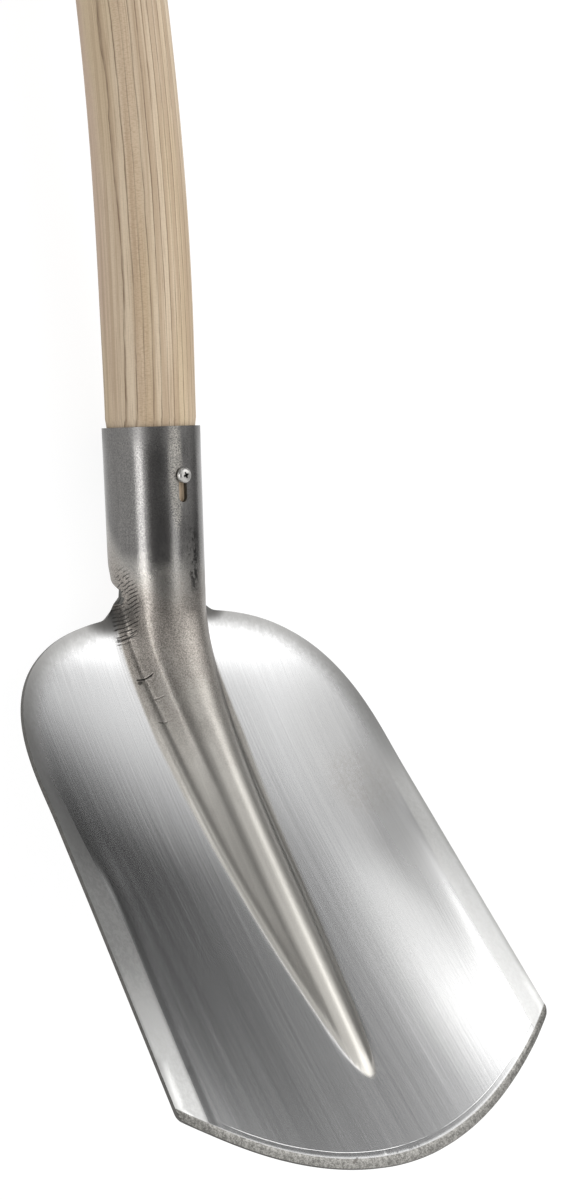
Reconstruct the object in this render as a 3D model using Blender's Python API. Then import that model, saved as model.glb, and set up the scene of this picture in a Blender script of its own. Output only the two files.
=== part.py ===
"""A sand shovel: a pressed steel head, a bent ash shaft and the one screw that holds them.

The head is drawn in its own blade frame. X runs across the blade, Y from the middle of the
cutting edge towards the shaft, and Z up out of the hollow side. The shaft and the screw are
drawn in the socket's frame, whose Z runs up the socket's axis from the mouth and whose -Y
points out of the socket's front. The whole tool then lies on its back on a floor.
"""

import math

import bmesh
import bpy
from mathutils import Matrix, Vector

# Gap left between pieces that touch
TOUCH_GAP = 0.0003

# Head: sheet and blade outline
SHEET = 0.0020
FRONT_HALF_WIDTH = 0.1031
REAR_HALF_WIDTH = 0.0963
CORNER_Y = 0.0418
SIDE_END_Y = 0.1794
BLADE_LENGTH = 0.2689
EDGE_POWER = 1.97
SHOULDER_POWER = 2.87
CORNER_TRIM = 0.0022
GRIND_WIDTH = 0.0034
GRIND_DEPTH = 0.0012

# Head: height of the rim over the middle of the cutting edge, and the dish inside it
RIM_Z_CORNER = 0.0054
RIM_Z_SIDE_END = 0.0062
RIM_Z_NECK = 0.0110
RIM_RISE_POWER = 0.75
FLOOR_DIP = 0.0055
FLOOR_DIP_LENGTH = 0.1500
DISH_POWER = 2.5
REAR_SWELL = 0.0032
REAR_SWELL_LENGTH = 0.0850
REAR_SWELL_BEFORE_REAR = 0.1189
REAR_SWELL_POWER = 3

# Head: flatter band along each straight side, outside the fold where the dish ends
BAND_WIDTH = 0.0145
BAND_RISE = 0.0008
BAND_FADE = 0.0500
FOLD_HALF_WIDTH = 0.0020

# Head: socket, measured along its front line
SOCKET_LIFT = math.radians(39.25)
MOUTH_BEHIND_BLADE = 0.0518
MOUTH_Z = 0.0810
SOCKET_RADIUS = 0.0225
SOCKET_FOOT_RADIUS = 0.0221
SOCKET_STRAIGHT = 0.0800
SEAM_LENGTH = 0.0600
SEAM_GAP = 0.0012

# Head: line of the rib's crest, from its tip near the cutting edge up to the socket
RIB_TIP_Y = 0.0385
FLAT_BEFORE_RIB = 0.0010
LEAST_RISE = 0.02
RIB_END_LENGTH = 0.0120
RIB_BEND_BEFORE_REAR = 0.1289
RIB_BEND_HEIGHT = 0.0052
RIB_SLOPE = math.radians(4.0)

# Head: bends across the rib at its tip, at its bend and at the neck
TOP_RADIUS = (0.0100, 0.0150, 0.0215)
TOP_ANGLE = (math.radians(30), math.radians(36), math.radians(52))
RIDGE_RADIUS = (0.0070, 0.0070, 0.0050)
FLANK_ANGLE = (math.radians(38), math.radians(52), math.radians(78))
FOOT_RADIUS = (0.0060, 0.0070, 0.0050)

# Head: fillet from the shoulder, out from the rib's foot, up into the socket's free edge
NOTCH_REACH = 0.0070
NOTCH_DEPTH = 0.0065
NOTCH_RISE = 0.0110
NOTCH_OPENING_POWER = 0.75

# Head: slot for the screw, measured down from the mouth
SLOT_WIDTH = 0.0044
SLOT_TOP = 0.0195
SLOT_END = 0.0340

# Shaft, measured along its axis from the socket's mouth
SHAFT_LENGTH = 1.1000
SHAFT_SEAT = 0.0860
NOSE_LENGTH = 0.0360
NOSE_RADIUS = 0.0120
NOSE_ROUND = 0.0040
SHAFT_MOUTH_RADIUS = 0.0206
SHAFT_SWELL = 0.0040
SHAFT_RADIUS = 0.0210
SHAFT_FULL = 0.0600
SHAFT_BUTT_RADIUS = 0.0205
SHAFT_THIN = 0.2000
SHAFT_BEND = math.radians(9.0)
SHAFT_BEND_START = 0.0050
SHAFT_BEND_LENGTH = 0.2500
BUTT_ROUND = 0.0050

# Screw
SCREW_DROP = 0.0025
SCREW_HEAD_RADIUS = 0.0036
SCREW_HEAD_HEIGHT = 0.0024
SCREW_HEAD_RIM = 0.0007
SCREW_DOME_POWER = 0.7
SCREW_LENGTH = 0.0250
SCREW_TIP_LENGTH = 0.0040
SCREW_TIP_SHARE = 0.1
THREAD_RADIUS = 0.0018
THREAD_CORE = 0.0012
THREAD_PITCH = 0.0020
RECESS_LENGTH = 0.0040
RECESS_WIDTH = 0.0009
RECESS_DEPTH = 0.0015
RECESS_FLOOR_LENGTH = 0.0016
RECESS_FLOOR_WIDTH = 0.0006
RECESS_TURN = math.radians(20)

# Counts of the grids
STRIP_MIN_HALF_WIDTH = 0.0130
STRIP_COLUMNS = 14
WALL_COLUMNS = 8
FOLD_COLUMNS = 1
BAND_COLUMNS = 2
FRONT_ROWS = 4
TIP_ROWS = 5
TIP_SPACING_POWER = 1.5
RIB_ROWS = 8
BEND_ROWS = 14
NOTCH_ROWS = 5
OPENING_ROWS = 5
SEAM_ROWS = 5
BEND_WEIGHT = 0.0080
SHAFT_SIDES = 28
SHAFT_BEND_ROWS = 16
SHAFT_SPACING_POWER = 1.3
SCREW_SIDES = 16
THREAD_ROWS = 4

# Grid points closer than this are one point
WELD = 2e-5


def clamp(value):
    return min(1.0, max(0.0, value))


def ease(value):
    value = clamp(value)
    return value * value * (3 - 2 * value)


def mix(start, end, share):
    return start + (end - start) * share


def between(values, share):
    """A value that runs smoothly through three given ones as share goes from 0 to 2."""
    if share < 1:
        return mix(values[0], values[1], ease(share))
    return mix(values[1], values[2], ease(share - 1))


def solve(function, target, low, high):
    """Where a rising function reaches the target."""
    for _ in range(40):
        middle = (low + high) / 2
        if function(middle) < target:
            low = middle
        else:
            high = middle
    return (low + high) / 2


# Blade outline and dish

SHOULDER_LENGTH = BLADE_LENGTH - SIDE_END_Y
RIB_BEND_Y = BLADE_LENGTH - RIB_BEND_BEFORE_REAR
MOUTH_Y = BLADE_LENGTH + MOUTH_BEHIND_BLADE
REAR_SWELL_Y = BLADE_LENGTH - REAR_SWELL_BEFORE_REAR


def edge_y(x):
    """The cutting edge, which bows forward between the corners."""
    return CORNER_Y * abs(x / FRONT_HALF_WIDTH) ** EDGE_POWER


def side_share(y):
    """0 at the front corner and 1 where the straight side ends."""
    return (min(y, SIDE_END_Y) - CORNER_Y) / (SIDE_END_Y - CORNER_Y)


def shoulder_share(y):
    """0 where the straight side ends and 1 at the rear of the blade."""
    return clamp((y - SIDE_END_Y) / SHOULDER_LENGTH)


def superellipse(share):
    """How far out the rounded shoulder is, for a share of its length."""
    return (1 - share**SHOULDER_POWER) ** (1 / SHOULDER_POWER)


def half_width(y):
    return mix(FRONT_HALF_WIDTH, REAR_HALF_WIDTH, side_share(y)) * superellipse(shoulder_share(y))


def shoulder_y(x):
    return SIDE_END_Y + SHOULDER_LENGTH * superellipse(clamp(abs(x) / REAR_HALF_WIDTH))


def rim_z(y):
    turned = 1 - (1 - shoulder_share(y) ** SHOULDER_POWER) ** RIM_RISE_POWER
    return mix(mix(RIM_Z_CORNER, RIM_Z_SIDE_END, side_share(y)), RIM_Z_NECK, turned)


def floor_z(behind):
    """The floor, which sinks away from the cutting edge and then runs level."""
    return -FLOOR_DIP * (1 - (1 - clamp(behind / FLOOR_DIP_LENGTH)) ** 2)


def dish_z(x, y):
    """Height of the hollow side: a floor that turns up to the rim, or to the band inside it.

    The floor also swells gently over the rear half, and the swell dies out at the rim.
    """
    width = mix(FRONT_HALF_WIDTH, REAR_HALF_WIDTH, side_share(y))
    reach = ((abs(x) / width) ** SHOULDER_POWER + shoulder_share(y) ** SHOULDER_POWER) ** (1 / SHOULDER_POWER)
    floor = floor_z(y - edge_y(x))
    rim = rim_z(y)
    fold = 1 - BAND_WIDTH / width
    wall = mix(floor, rim - BAND_RISE, min(1.0, reach / fold) ** DISH_POWER)
    banded = wall + BAND_RISE * clamp((reach - fold) / (1 - fold))
    rear = ease((y - REAR_SWELL_Y) / REAR_SWELL_LENGTH)
    swell = REAR_SWELL * rear * (1 - min(1.0, reach) ** REAR_SWELL_POWER)
    return swell + mix(mix(floor, rim, reach**DISH_POWER), banded, ease((SIDE_END_Y - y) / BAND_FADE))


# Line of the crest, in the plane of symmetry

SOCKET_AXIS = Vector((0, math.cos(SOCKET_LIFT), math.sin(SOCKET_LIFT)))
RIB_AXIS = Vector((0, math.cos(RIB_SLOPE), math.sin(RIB_SLOPE)))
MOUTH = Vector((0, MOUTH_Y, MOUTH_Z))
BEND_TOP = MOUTH - SOCKET_AXIS * SOCKET_STRAIGHT
BEND_FOOT = Vector((0, RIB_BEND_Y, RIB_BEND_HEIGHT))


def front_of(along):
    """The direction out of the hollow side, square to a line in the plane of symmetry."""
    return Vector((0, -along.z, along.y))


def meeting_point(start, along, other, other_along):
    """Where two lines in the plane of symmetry cross."""
    reach = (other - start).dot(front_of(other_along)) / along.dot(front_of(other_along))
    return start + along * reach


BEND_CORNER = meeting_point(BEND_FOOT, RIB_AXIS, BEND_TOP, SOCKET_AXIS)


def bend_point(share):
    """Place and direction on the curve that carries the crest from the rib into the socket."""
    low = BEND_FOOT.lerp(BEND_CORNER, share)
    high = BEND_CORNER.lerp(BEND_TOP, share)
    return low.lerp(high, share), (high - low).normalized()


class Section:
    """One cut across the head: where its crest is, and how the sheet bends on the way down."""

    def __init__(self, crest, along, bends, dish_share, border):
        self.crest = crest
        self.front = front_of(along)
        self.bends = bends
        self.dish_share = dish_share
        self.border = border

    def walk(self, share):
        """How far along the sheet a share of the columns reaches. They gather at the bends."""
        parts = []
        left = self.border
        for length, turn in (*self.bends, (math.inf, 0.0)):
            part = min(left, length)
            parts.append((part, part * (1 + BEND_WEIGHT * abs(turn) / length)))
            left -= part
        goal = share * sum(weight for _, weight in parts)
        walked = 0.0
        for part, weight in parts:
            if goal < weight:
                return walked + part * goal / weight
            goal -= weight
            walked += part
        return walked

    def point(self, across):
        """The hollow side's surface, for a share of the columns on either side of the crest."""
        left = self.walk(abs(across))
        out = down = angle = 0.0
        for length, turn in self.bends:
            step = min(left, length)
            end = angle + turn * step / length
            if abs(end - angle) > 1e-9:
                radius = length / turn
                out += radius * (math.sin(end) - math.sin(angle))
                down += radius * (math.cos(angle) - math.cos(end))
            else:
                out += step * math.cos(angle)
                down += step * math.sin(angle)
            left -= step
            angle = end
        out += left * math.cos(angle)
        down += left * math.sin(angle)
        place = self.crest - self.front * down
        place.x = math.copysign(out, across)
        place.z += self.dish_share * (dish_z(out, place.y) - dish_z(0, place.y))
        return place


def rib_bends(height, share):
    """Bends that come down from the crest by the height and end flat on the floor."""
    top = between(TOP_RADIUS, share)
    top_angle = between(TOP_ANGLE, share)
    ridge = between(RIDGE_RADIUS, share)
    foot = between(FOOT_RADIUS, share)
    steepest = between(FLANK_ANGLE, share)

    def drop(angle):
        first = min(angle, top_angle)
        fall = top * (1 - math.cos(first)) + foot * (1 - math.cos(angle))
        return fall + ridge * (math.cos(first) - math.cos(angle))

    angle = steepest if drop(steepest) <= height else solve(drop, height, 0.0, steepest)
    flank = max(0.0, height - drop(angle)) / math.sin(angle)
    first = min(angle, top_angle)
    tiny = 1e-7
    return (
        (top * first + tiny, first),
        (ridge * (angle - first) + tiny, angle - first),
        (flank + tiny, 0.0),
        (foot * angle + tiny, -angle),
    )


def blade_section(crest, along, share, rise=1.0, margin=0.0):
    """A cut across the blade, whose bends end on the dish's floor."""
    front = front_of(along)

    def below_floor(down):
        place = crest - front * down
        return dish_z(0, place.y) - place.z

    height = solve(below_floor, 0.0, 0.0, 4 * SOCKET_RADIUS)
    bends = rib_bends(height * rise, share)
    border = max(STRIP_MIN_HALF_WIDTH, sum(length for length, _ in bends) + margin)
    return Section(crest - front * height * (1 - rise), along, bends, 1.0, border)


def flat_section(y):
    flat = ((STRIP_MIN_HALF_WIDTH, 0.0),)
    return Section(Vector((0, y, dish_z(0, y))), Vector((0, 1, 0)), flat, 1.0, STRIP_MIN_HALF_WIDTH)


def rib_section(y):
    """The straight part of the rib, with a rounded end at its tip."""
    crest = BEND_FOOT + RIB_AXIS * ((y - RIB_BEND_Y) / RIB_AXIS.y)
    rise = 1 - (1 - clamp((y - RIB_TIP_Y) / RIB_END_LENGTH)) ** 2
    return blade_section(crest, RIB_AXIS, (y - RIB_TIP_Y) / (RIB_BEND_Y - RIB_TIP_Y), max(rise, LEAST_RISE))


def neck_section(share):
    """The cut whose ends lie on the shoulder, where the notch's fillet starts."""
    return blade_section(*bend_point(share), 2.0, margin=NOTCH_REACH)


def past_shoulder(share):
    """How far the neck cut's ends lie behind the blade's rear rim."""
    end = neck_section(share).point(1.0)
    return end.y - shoulder_y(end.x)


NECK_SHARE = solve(past_shoulder, 0.0, 0.0, 1.0)


def bend_section(share):
    reached = share / NECK_SHARE
    return blade_section(*bend_point(share), 1 + reached, margin=NOTCH_REACH * ease(reached))


def socket_radius(below):
    """Outer radius, a given way below the mouth."""
    return mix(SOCKET_RADIUS, SOCKET_FOOT_RADIUS, clamp(below / SOCKET_STRAIGHT))


def tube_bends(radius):
    quarter = math.pi / 4
    return tuple((radius * quarter, quarter) for _ in range(4))


def seam_border(radius):
    return math.pi * radius - SEAM_GAP / 2


def neck_sections():
    """Cuts from the neck to the mouth. Their ends follow the fillet, then round to the seam."""
    neck = neck_section(NECK_SHARE)
    bend_left = (BEND_TOP - neck.crest).length
    total = bend_left + SOCKET_STRAIGHT - SEAM_LENGTH
    notch_border = neck.border - NOTCH_DEPTH
    seam_foot = seam_border(socket_radius(SEAM_LENGTH))
    turns = [math.pi / 2 * i / NOTCH_ROWS for i in range(1, NOTCH_ROWS + 1)]
    ends = [(NOTCH_RISE * (1 - math.cos(turn)), neck.border - NOTCH_DEPTH * math.sin(turn)) for turn in turns]
    for i in range(1, OPENING_ROWS + 1):
        share = i / OPENING_ROWS
        border = mix(notch_border, seam_foot, share**NOTCH_OPENING_POWER)
        ends.append((mix(NOTCH_RISE, total, share), border))
    sections = []
    for distance, border in ends:
        beyond = max(0.0, distance - bend_left)
        if distance < bend_left:
            crest, along = bend_point(mix(NECK_SHARE, 1.0, distance / bend_left))
        else:
            crest, along = BEND_TOP + SOCKET_AXIS * beyond, SOCKET_AXIS
        rolled = ease(distance / total)
        tube = tube_bends(socket_radius(SOCKET_STRAIGHT - beyond))
        bends = tuple(
            (mix(length, round_length, rolled), mix(turn, round_turn, rolled))
            for (length, turn), (round_length, round_turn) in zip(neck.bends, tube)
        )
        sections.append(Section(crest, along, bends, 1 - rolled, border))
    for i in range(1, SEAM_ROWS + 1):
        below = SEAM_LENGTH * (1 - i / SEAM_ROWS)
        radius = socket_radius(below)
        crest = MOUTH - SOCKET_AXIS * below
        sections.append(Section(crest, SOCKET_AXIS, tube_bends(radius), 0.0, seam_border(radius)))
    return sections


def blade_sections():
    """Cuts from the cutting edge to the neck, closer together where the rib begins."""
    before_rib = RIB_TIP_Y - FLAT_BEFORE_RIB
    sections = [flat_section(0.0)]
    sections += [flat_section(mix(GRIND_WIDTH, before_rib, i / FRONT_ROWS)) for i in range(FRONT_ROWS + 1)]
    rib_start = RIB_TIP_Y + RIB_END_LENGTH
    tip_shares = [(i / TIP_ROWS) ** TIP_SPACING_POWER for i in range(TIP_ROWS + 1)]
    sections += [rib_section(mix(RIB_TIP_Y, rib_start, share)) for share in tip_shares]
    sections += [rib_section(mix(rib_start, RIB_BEND_Y, (i + 1) / RIB_ROWS)) for i in range(RIB_ROWS)]
    sections += [bend_section(NECK_SHARE * (i + 1) / BEND_ROWS) for i in range(BEND_ROWS)]
    return sections


# Surfaces made of grids

def formed_grid(sheet, columns, rows, place):
    """A flat grid whose points are moved to place(column, row)."""
    made = bmesh.ops.create_grid(sheet, x_segments=columns, y_segments=rows, size=0.5)
    for vert in made["verts"]:
        vert.co = place(round((vert.co.x + 0.5) * columns), round((vert.co.y + 0.5) * rows))


def turned_solid(sides, rows, place):
    """A closed solid from rings: place(angle, row) gives the points of each."""
    solid = bmesh.new()
    formed_grid(solid, sides, rows, lambda side, row: place(2 * math.pi * side / sides, row))
    bmesh.ops.remove_doubles(solid, verts=solid.verts, dist=WELD)
    rims = [edge for edge in solid.edges if edge.is_boundary]
    bmesh.ops.holes_fill(solid, edges=rims, sides=sides)
    bmesh.ops.recalc_face_normals(solid, faces=solid.faces)
    return solid


def head_skin():
    """The hollow side of the whole head, as one open sheet."""
    blade = blade_sections()
    strip = blade + neck_sections()

    def strip_place(column, row):
        place = strip[row].point(column / STRIP_COLUMNS - 1)
        if place.y < CORNER_Y:
            place.y += edge_y(place.x) * (1 - place.y / CORNER_Y)
            if row <= FRONT_ROWS + 1:
                place.z = dish_z(place.x, place.y)
        return place

    feet = [strip_place(2 * STRIP_COLUMNS, row).xy for row in range(len(blade))]
    split = 0.5 ** (1 / SHOULDER_POWER)
    split_x = REAR_HALF_WIDTH * split
    split_y = SIDE_END_Y + SHOULDER_LENGTH * split

    def wing_share(column, span):
        """Share of the wing's span. The fold's columns lie close on either side of the fold."""
        before_fold = 1 - (BAND_WIDTH + FOLD_HALF_WIDTH) / span
        after_fold = 1 - (BAND_WIDTH - FOLD_HALF_WIDTH) / span
        if column <= WALL_COLUMNS:
            return mix(0.0, before_fold, column / WALL_COLUMNS)
        if column <= WALL_COLUMNS + FOLD_COLUMNS:
            return mix(before_fold, after_fold, (column - WALL_COLUMNS) / FOLD_COLUMNS)
        return mix(after_fold, 1.0, (column - WALL_COLUMNS - FOLD_COLUMNS) / BAND_COLUMNS)

    def wing_place(column, row):
        """Blend of the wing's four edges: rib foot, outline, cutting edge and shoulder."""
        along = (feet[row].y - feet[0].y) / (feet[-1].y - feet[0].y)
        outer_y = mix(CORNER_Y, split_y, along)
        outer = Vector((half_width(outer_y), outer_y))
        share = wing_share(column, outer.x - feet[row].x)
        low_x = mix(feet[0].x, FRONT_HALF_WIDTH, share)
        low = Vector((low_x, edge_y(low_x)))
        high_x = mix(feet[-1].x, split_x, share)
        high = Vector((high_x, shoulder_y(high_x)))
        low_corners = feet[0].lerp(Vector((FRONT_HALF_WIDTH, CORNER_Y)), share)
        high_corners = feet[-1].lerp(Vector((split_x, split_y)), share)
        place = low.lerp(high, along) + feet[row].lerp(outer, share) - low_corners.lerp(high_corners, along)
        return Vector((place.x, place.y, dish_z(place.x, place.y)))

    def mirrored_place(column, row):
        place = wing_place(column, row)
        place.x = -place.x
        return place

    sheet = bmesh.new()
    wing_columns = WALL_COLUMNS + FOLD_COLUMNS + BAND_COLUMNS
    formed_grid(sheet, 2 * STRIP_COLUMNS, len(strip) - 1, strip_place)
    formed_grid(sheet, wing_columns, len(blade) - 1, wing_place)
    formed_grid(sheet, wing_columns, len(blade) - 1, mirrored_place)
    bmesh.ops.remove_doubles(sheet, verts=sheet.verts, dist=WELD)
    bmesh.ops.recalc_face_normals(sheet, faces=sheet.faces)
    return sheet


def head_solid():
    """The sheet with its thickness, its ground cutting edge and its rounded front corners."""
    sheet = head_skin()
    sheet.normal_update()
    middle = min(sheet.faces, key=lambda face: (face.calc_center_median() - BEND_FOOT).length)
    up = math.copysign(1, middle.normal.z)
    backs = [(vert, vert.normal * (up * SHEET * vert.calc_shell_factor())) for vert in sheet.verts]
    made = bmesh.ops.extrude_face_region(sheet, geom=sheet.faces[:])
    tops = {item for item in made["geom"] if isinstance(item, bmesh.types.BMVert)}
    for vert, through in backs:
        vert.co -= through
    edge = [vert for vert in tops if abs(vert.co.y - edge_y(vert.co.x)) < WELD]
    corners = [vert for vert in edge if abs(vert.co.x) > FRONT_HALF_WIDTH - WELD]
    for vert in edge:
        vert.co.z -= GRIND_DEPTH
    upright = [link for vert in corners for link in vert.link_edges if link.other_vert(vert) not in tops]
    bmesh.ops.bevel(
        sheet,
        geom=upright,
        offset=CORNER_TRIM,
        offset_type="OFFSET",
        segments=4,
        profile=0.5,
        affect="EDGES",
        clamp_overlap=True,
    )
    bmesh.ops.recalc_face_normals(sheet, faces=sheet.faces)
    return sheet


# Shaft

BORE_FACET = math.cos(math.pi / (2 * STRIP_COLUMNS))


def seated_radius(below):
    """The shaft's radius inside the socket, clear of the flats of its bore."""
    return (socket_radius(below) - SHEET) * BORE_FACET - TOUCH_GAP


def free_radius(above):
    swollen = mix(seated_radius(0.0), SHAFT_MOUTH_RADIUS, clamp(above / SHAFT_SWELL))
    full = mix(swollen, SHAFT_RADIUS, ease((above - SHAFT_SWELL) / (SHAFT_FULL - SHAFT_SWELL)))
    return mix(full, SHAFT_BUTT_RADIUS, ease((above - SHAFT_FULL) / (SHAFT_THIN - SHAFT_FULL)))


def shaft_lean(above):
    """How far the shaft has bent back from the socket's axis."""
    return SHAFT_BEND * ease((above - SHAFT_BEND_START) / SHAFT_BEND_LENGTH)


def shaft_centre(above):
    steps = 80
    centre = Vector((0, 0, 0))
    for i in range(steps):
        lean = shaft_lean(above * (i + 0.5) / steps)
        centre += Vector((0, math.sin(lean), math.cos(lean))) * (above / steps)
    return centre


def shaft_rings():
    """Distance from the mouth and radius of each ring, from the nose to the butt."""
    nose = -SHAFT_SEAT
    shoulder = nose + NOSE_LENGTH
    bend_end = SHAFT_BEND_START + SHAFT_BEND_LENGTH
    butt = SHAFT_LENGTH - SHAFT_SEAT
    rings = []
    for i in range(4):
        turn = math.radians(30) * i
        radius = NOSE_RADIUS - NOSE_ROUND * (1 - math.sin(turn))
        rings.append((nose + NOSE_ROUND * (1 - math.cos(turn)), radius))
    for i in range(1, 5):
        share = i / 4
        radius = mix(NOSE_RADIUS, seated_radius(-shoulder), math.sin(math.pi / 2 * share))
        rings.append((mix(nose + NOSE_ROUND, shoulder, share), radius))
    rings += [(shoulder * (1 - i / 3), seated_radius(-shoulder * (1 - i / 3))) for i in range(1, 4)]
    for i in range(1, SHAFT_BEND_ROWS + 1):
        above = mix(SHAFT_SWELL, bend_end, ((i - 1) / (SHAFT_BEND_ROWS - 1)) ** SHAFT_SPACING_POWER)
        rings.append((above, free_radius(above)))
    straight_end = butt - BUTT_ROUND
    rings += [(mix(bend_end, straight_end, i / 4), SHAFT_BUTT_RADIUS) for i in range(1, 5)]
    for i in range(1, 4):
        turn = math.radians(30) * i
        radius = SHAFT_BUTT_RADIUS - BUTT_ROUND * (1 - math.cos(turn))
        rings.append((straight_end + BUTT_ROUND * math.sin(turn), radius))
    return rings


def shaft_solid():
    rings = shaft_rings()
    centres = [shaft_centre(above) for above, _ in rings]

    def place(angle, row):
        above, radius = rings[row]
        lean = shaft_lean(above)
        back = Vector((0, math.cos(lean), -math.sin(lean)))
        return centres[row] + Vector((radius * math.sin(angle), 0, 0)) + back * (radius * math.cos(angle))

    return turned_solid(SHAFT_SIDES, len(rings) - 1, place)


# Screw

SCREW_DOWN = SLOT_TOP + SCREW_DROP
SCREW_SEAT = socket_radius(SCREW_DOWN) + TOUCH_GAP
SCREW_NECK_RADIUS = SLOT_WIDTH / 2 - TOUCH_GAP
THREAD_TOP = SHEET + 4 * TOUCH_GAP


def screw_rings():
    """Height over the underside of the head, core radius and thread radius of each ring."""
    rings = []
    turns = (SCREW_LENGTH - THREAD_TOP) / THREAD_PITCH
    rows = math.ceil(turns * THREAD_ROWS)
    for i in range(rows + 1):
        height = mix(-SCREW_LENGTH, -THREAD_TOP, i / rows)
        point = clamp(SCREW_TIP_SHARE + (height + SCREW_LENGTH) / SCREW_TIP_LENGTH)
        fade = min(point, clamp((-THREAD_TOP - height) / THREAD_PITCH))
        rings.append((height, THREAD_CORE * point, (THREAD_RADIUS - THREAD_CORE) * fade))
    for height, radius in (
        (-THREAD_TOP + (SCREW_NECK_RADIUS - THREAD_CORE), SCREW_NECK_RADIUS),
        (0.0, SCREW_NECK_RADIUS),
        (0.0, SCREW_HEAD_RADIUS),
        (SCREW_HEAD_RIM, SCREW_HEAD_RADIUS),
    ):
        rings.append((height, radius, 0.0))
    for i in range(1, 5):
        turn = math.radians(18) * i
        height = mix(SCREW_HEAD_RIM, SCREW_HEAD_HEIGHT, math.sin(turn) / math.sin(math.radians(72)))
        rings.append((height, SCREW_HEAD_RADIUS * math.cos(turn) ** SCREW_DOME_POWER, 0.0))
    return rings


def screw_solid():
    rings = screw_rings()

    def place(angle, row):
        height, core, thread = rings[row]
        phase = (angle / (2 * math.pi) - height / THREAD_PITCH) % 1.0
        radius = core + thread * clamp(2 - 4 * abs(phase - 0.5))
        return Vector((radius * math.cos(angle), radius * math.sin(angle), height))

    return turned_solid(SCREW_SIDES, len(rings) - 1, place)


# Cutters

def slot_cutter():
    """A bar with round ends, as wide and long as the slot."""
    cutter = bmesh.new()
    radius = SLOT_WIDTH / 2
    sides = 24
    half_step = Matrix.Rotation(math.pi / sides, 4, "Z")
    bmesh.ops.create_cone(
        cutter, cap_ends=True, segments=sides, radius1=radius, radius2=radius, depth=4 * SHEET, matrix=half_step
    )
    for vert in cutter.verts:
        vert.co.y += math.copysign((SLOT_END - SLOT_TOP) / 2 - radius, vert.co.y)
    return cutter


def bore_cutter():
    """The screw's hole in the wood, from outside the wood to just past the screw's tip."""
    cutter = bmesh.new()
    radius = THREAD_RADIUS + TOUCH_GAP
    depth = SCREW_LENGTH + TOUCH_GAP
    middle = Matrix.Translation((0, 0, -depth / 2))
    bmesh.ops.create_cone(
        cutter, cap_ends=True, segments=20, radius1=radius, radius2=radius, depth=depth, matrix=middle
    )
    return cutter


def recess_cutter():
    """One arm of the cross in the screw's head, narrower and shorter at its floor."""
    cutter = bmesh.new()
    size = Matrix.Diagonal((RECESS_LENGTH, RECESS_WIDTH, 2 * RECESS_DEPTH, 1))
    bmesh.ops.create_cube(cutter, size=1.0, matrix=size)
    for vert in cutter.verts:
        if vert.co.z < 0:
            vert.co.x *= RECESS_FLOOR_LENGTH / RECESS_LENGTH
            vert.co.y *= RECESS_FLOOR_WIDTH / RECESS_WIDTH
        vert.co.z += SCREW_HEAD_HEIGHT
    return cutter


# Objects

def clear_scene():
    for thing in list(bpy.data.objects):
        bpy.data.objects.remove(thing, do_unlink=True)


def make_material(name, colour, roughness, metallic):
    material = bpy.data.materials.new(name)
    material.use_nodes = True
    shader = material.node_tree.nodes["Principled BSDF"]
    shader.inputs["Base Color"].default_value = (*colour, 1)
    shader.inputs["Roughness"].default_value = roughness
    shader.inputs["Metallic"].default_value = metallic
    return material


def add_empty(name, parent):
    empty = bpy.data.objects.new(name, None)
    empty.parent = parent
    bpy.context.scene.collection.objects.link(empty)
    return empty


def add_object(name, shape, parent, material=None):
    mesh = bpy.data.meshes.new(name)
    shape.to_mesh(mesh)
    shape.free()
    mesh.shade_smooth()
    mesh.set_sharp_from_angle(angle=math.radians(40))
    if material:
        mesh.materials.append(material)
    thing = bpy.data.objects.new(name, mesh)
    thing.parent = parent
    bpy.context.scene.collection.objects.link(thing)
    return thing


def cut(thing, cutter):
    cutter.hide_render = True
    cutter.display_type = "WIRE"
    modifier = thing.modifiers.new(cutter.name, "BOOLEAN")
    modifier.operation = "DIFFERENCE"
    modifier.solver = "EXACT"
    modifier.object = cutter


def face_front(thing, down, out):
    """Turns a piece's Z out of the socket's front, at a place below the mouth."""
    thing.location = (0, -out, -down)
    thing.rotation_euler = (math.pi / 2, 0, 0)


def lowest(points, tilt):
    return min(point.z * math.cos(tilt) - point.y * math.sin(tilt) for point in points)


def lay_down(blade_frame, socket_frame, head, shaft):
    """Tilts the tool back until its heel and its butt are level, and centres it over the origin."""
    to_blade = Matrix.Translation(socket_frame.location) @ socket_frame.rotation_euler.to_matrix().to_4x4()
    head_points = [vert.co for vert in head.data.vertices]
    shaft_points = [to_blade @ vert.co for vert in shaft.data.vertices]
    free_points = [point for point in shaft_points if point.y > MOUTH_Y + SHAFT_BEND_LENGTH]
    tilt = solve(lambda turn: lowest(head_points, turn) - lowest(free_points, turn), 0.0, 0.0, SOCKET_LIFT)
    points = head_points + shaft_points
    turn = Matrix.Rotation(-tilt, 4, "X")
    lengths = [(turn @ point).y for point in points]
    blade_frame.rotation_euler = (-tilt, 0, 0)
    blade_frame.location = (0, -(min(lengths) + max(lengths)) / 2, -lowest(points, tilt))


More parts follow.
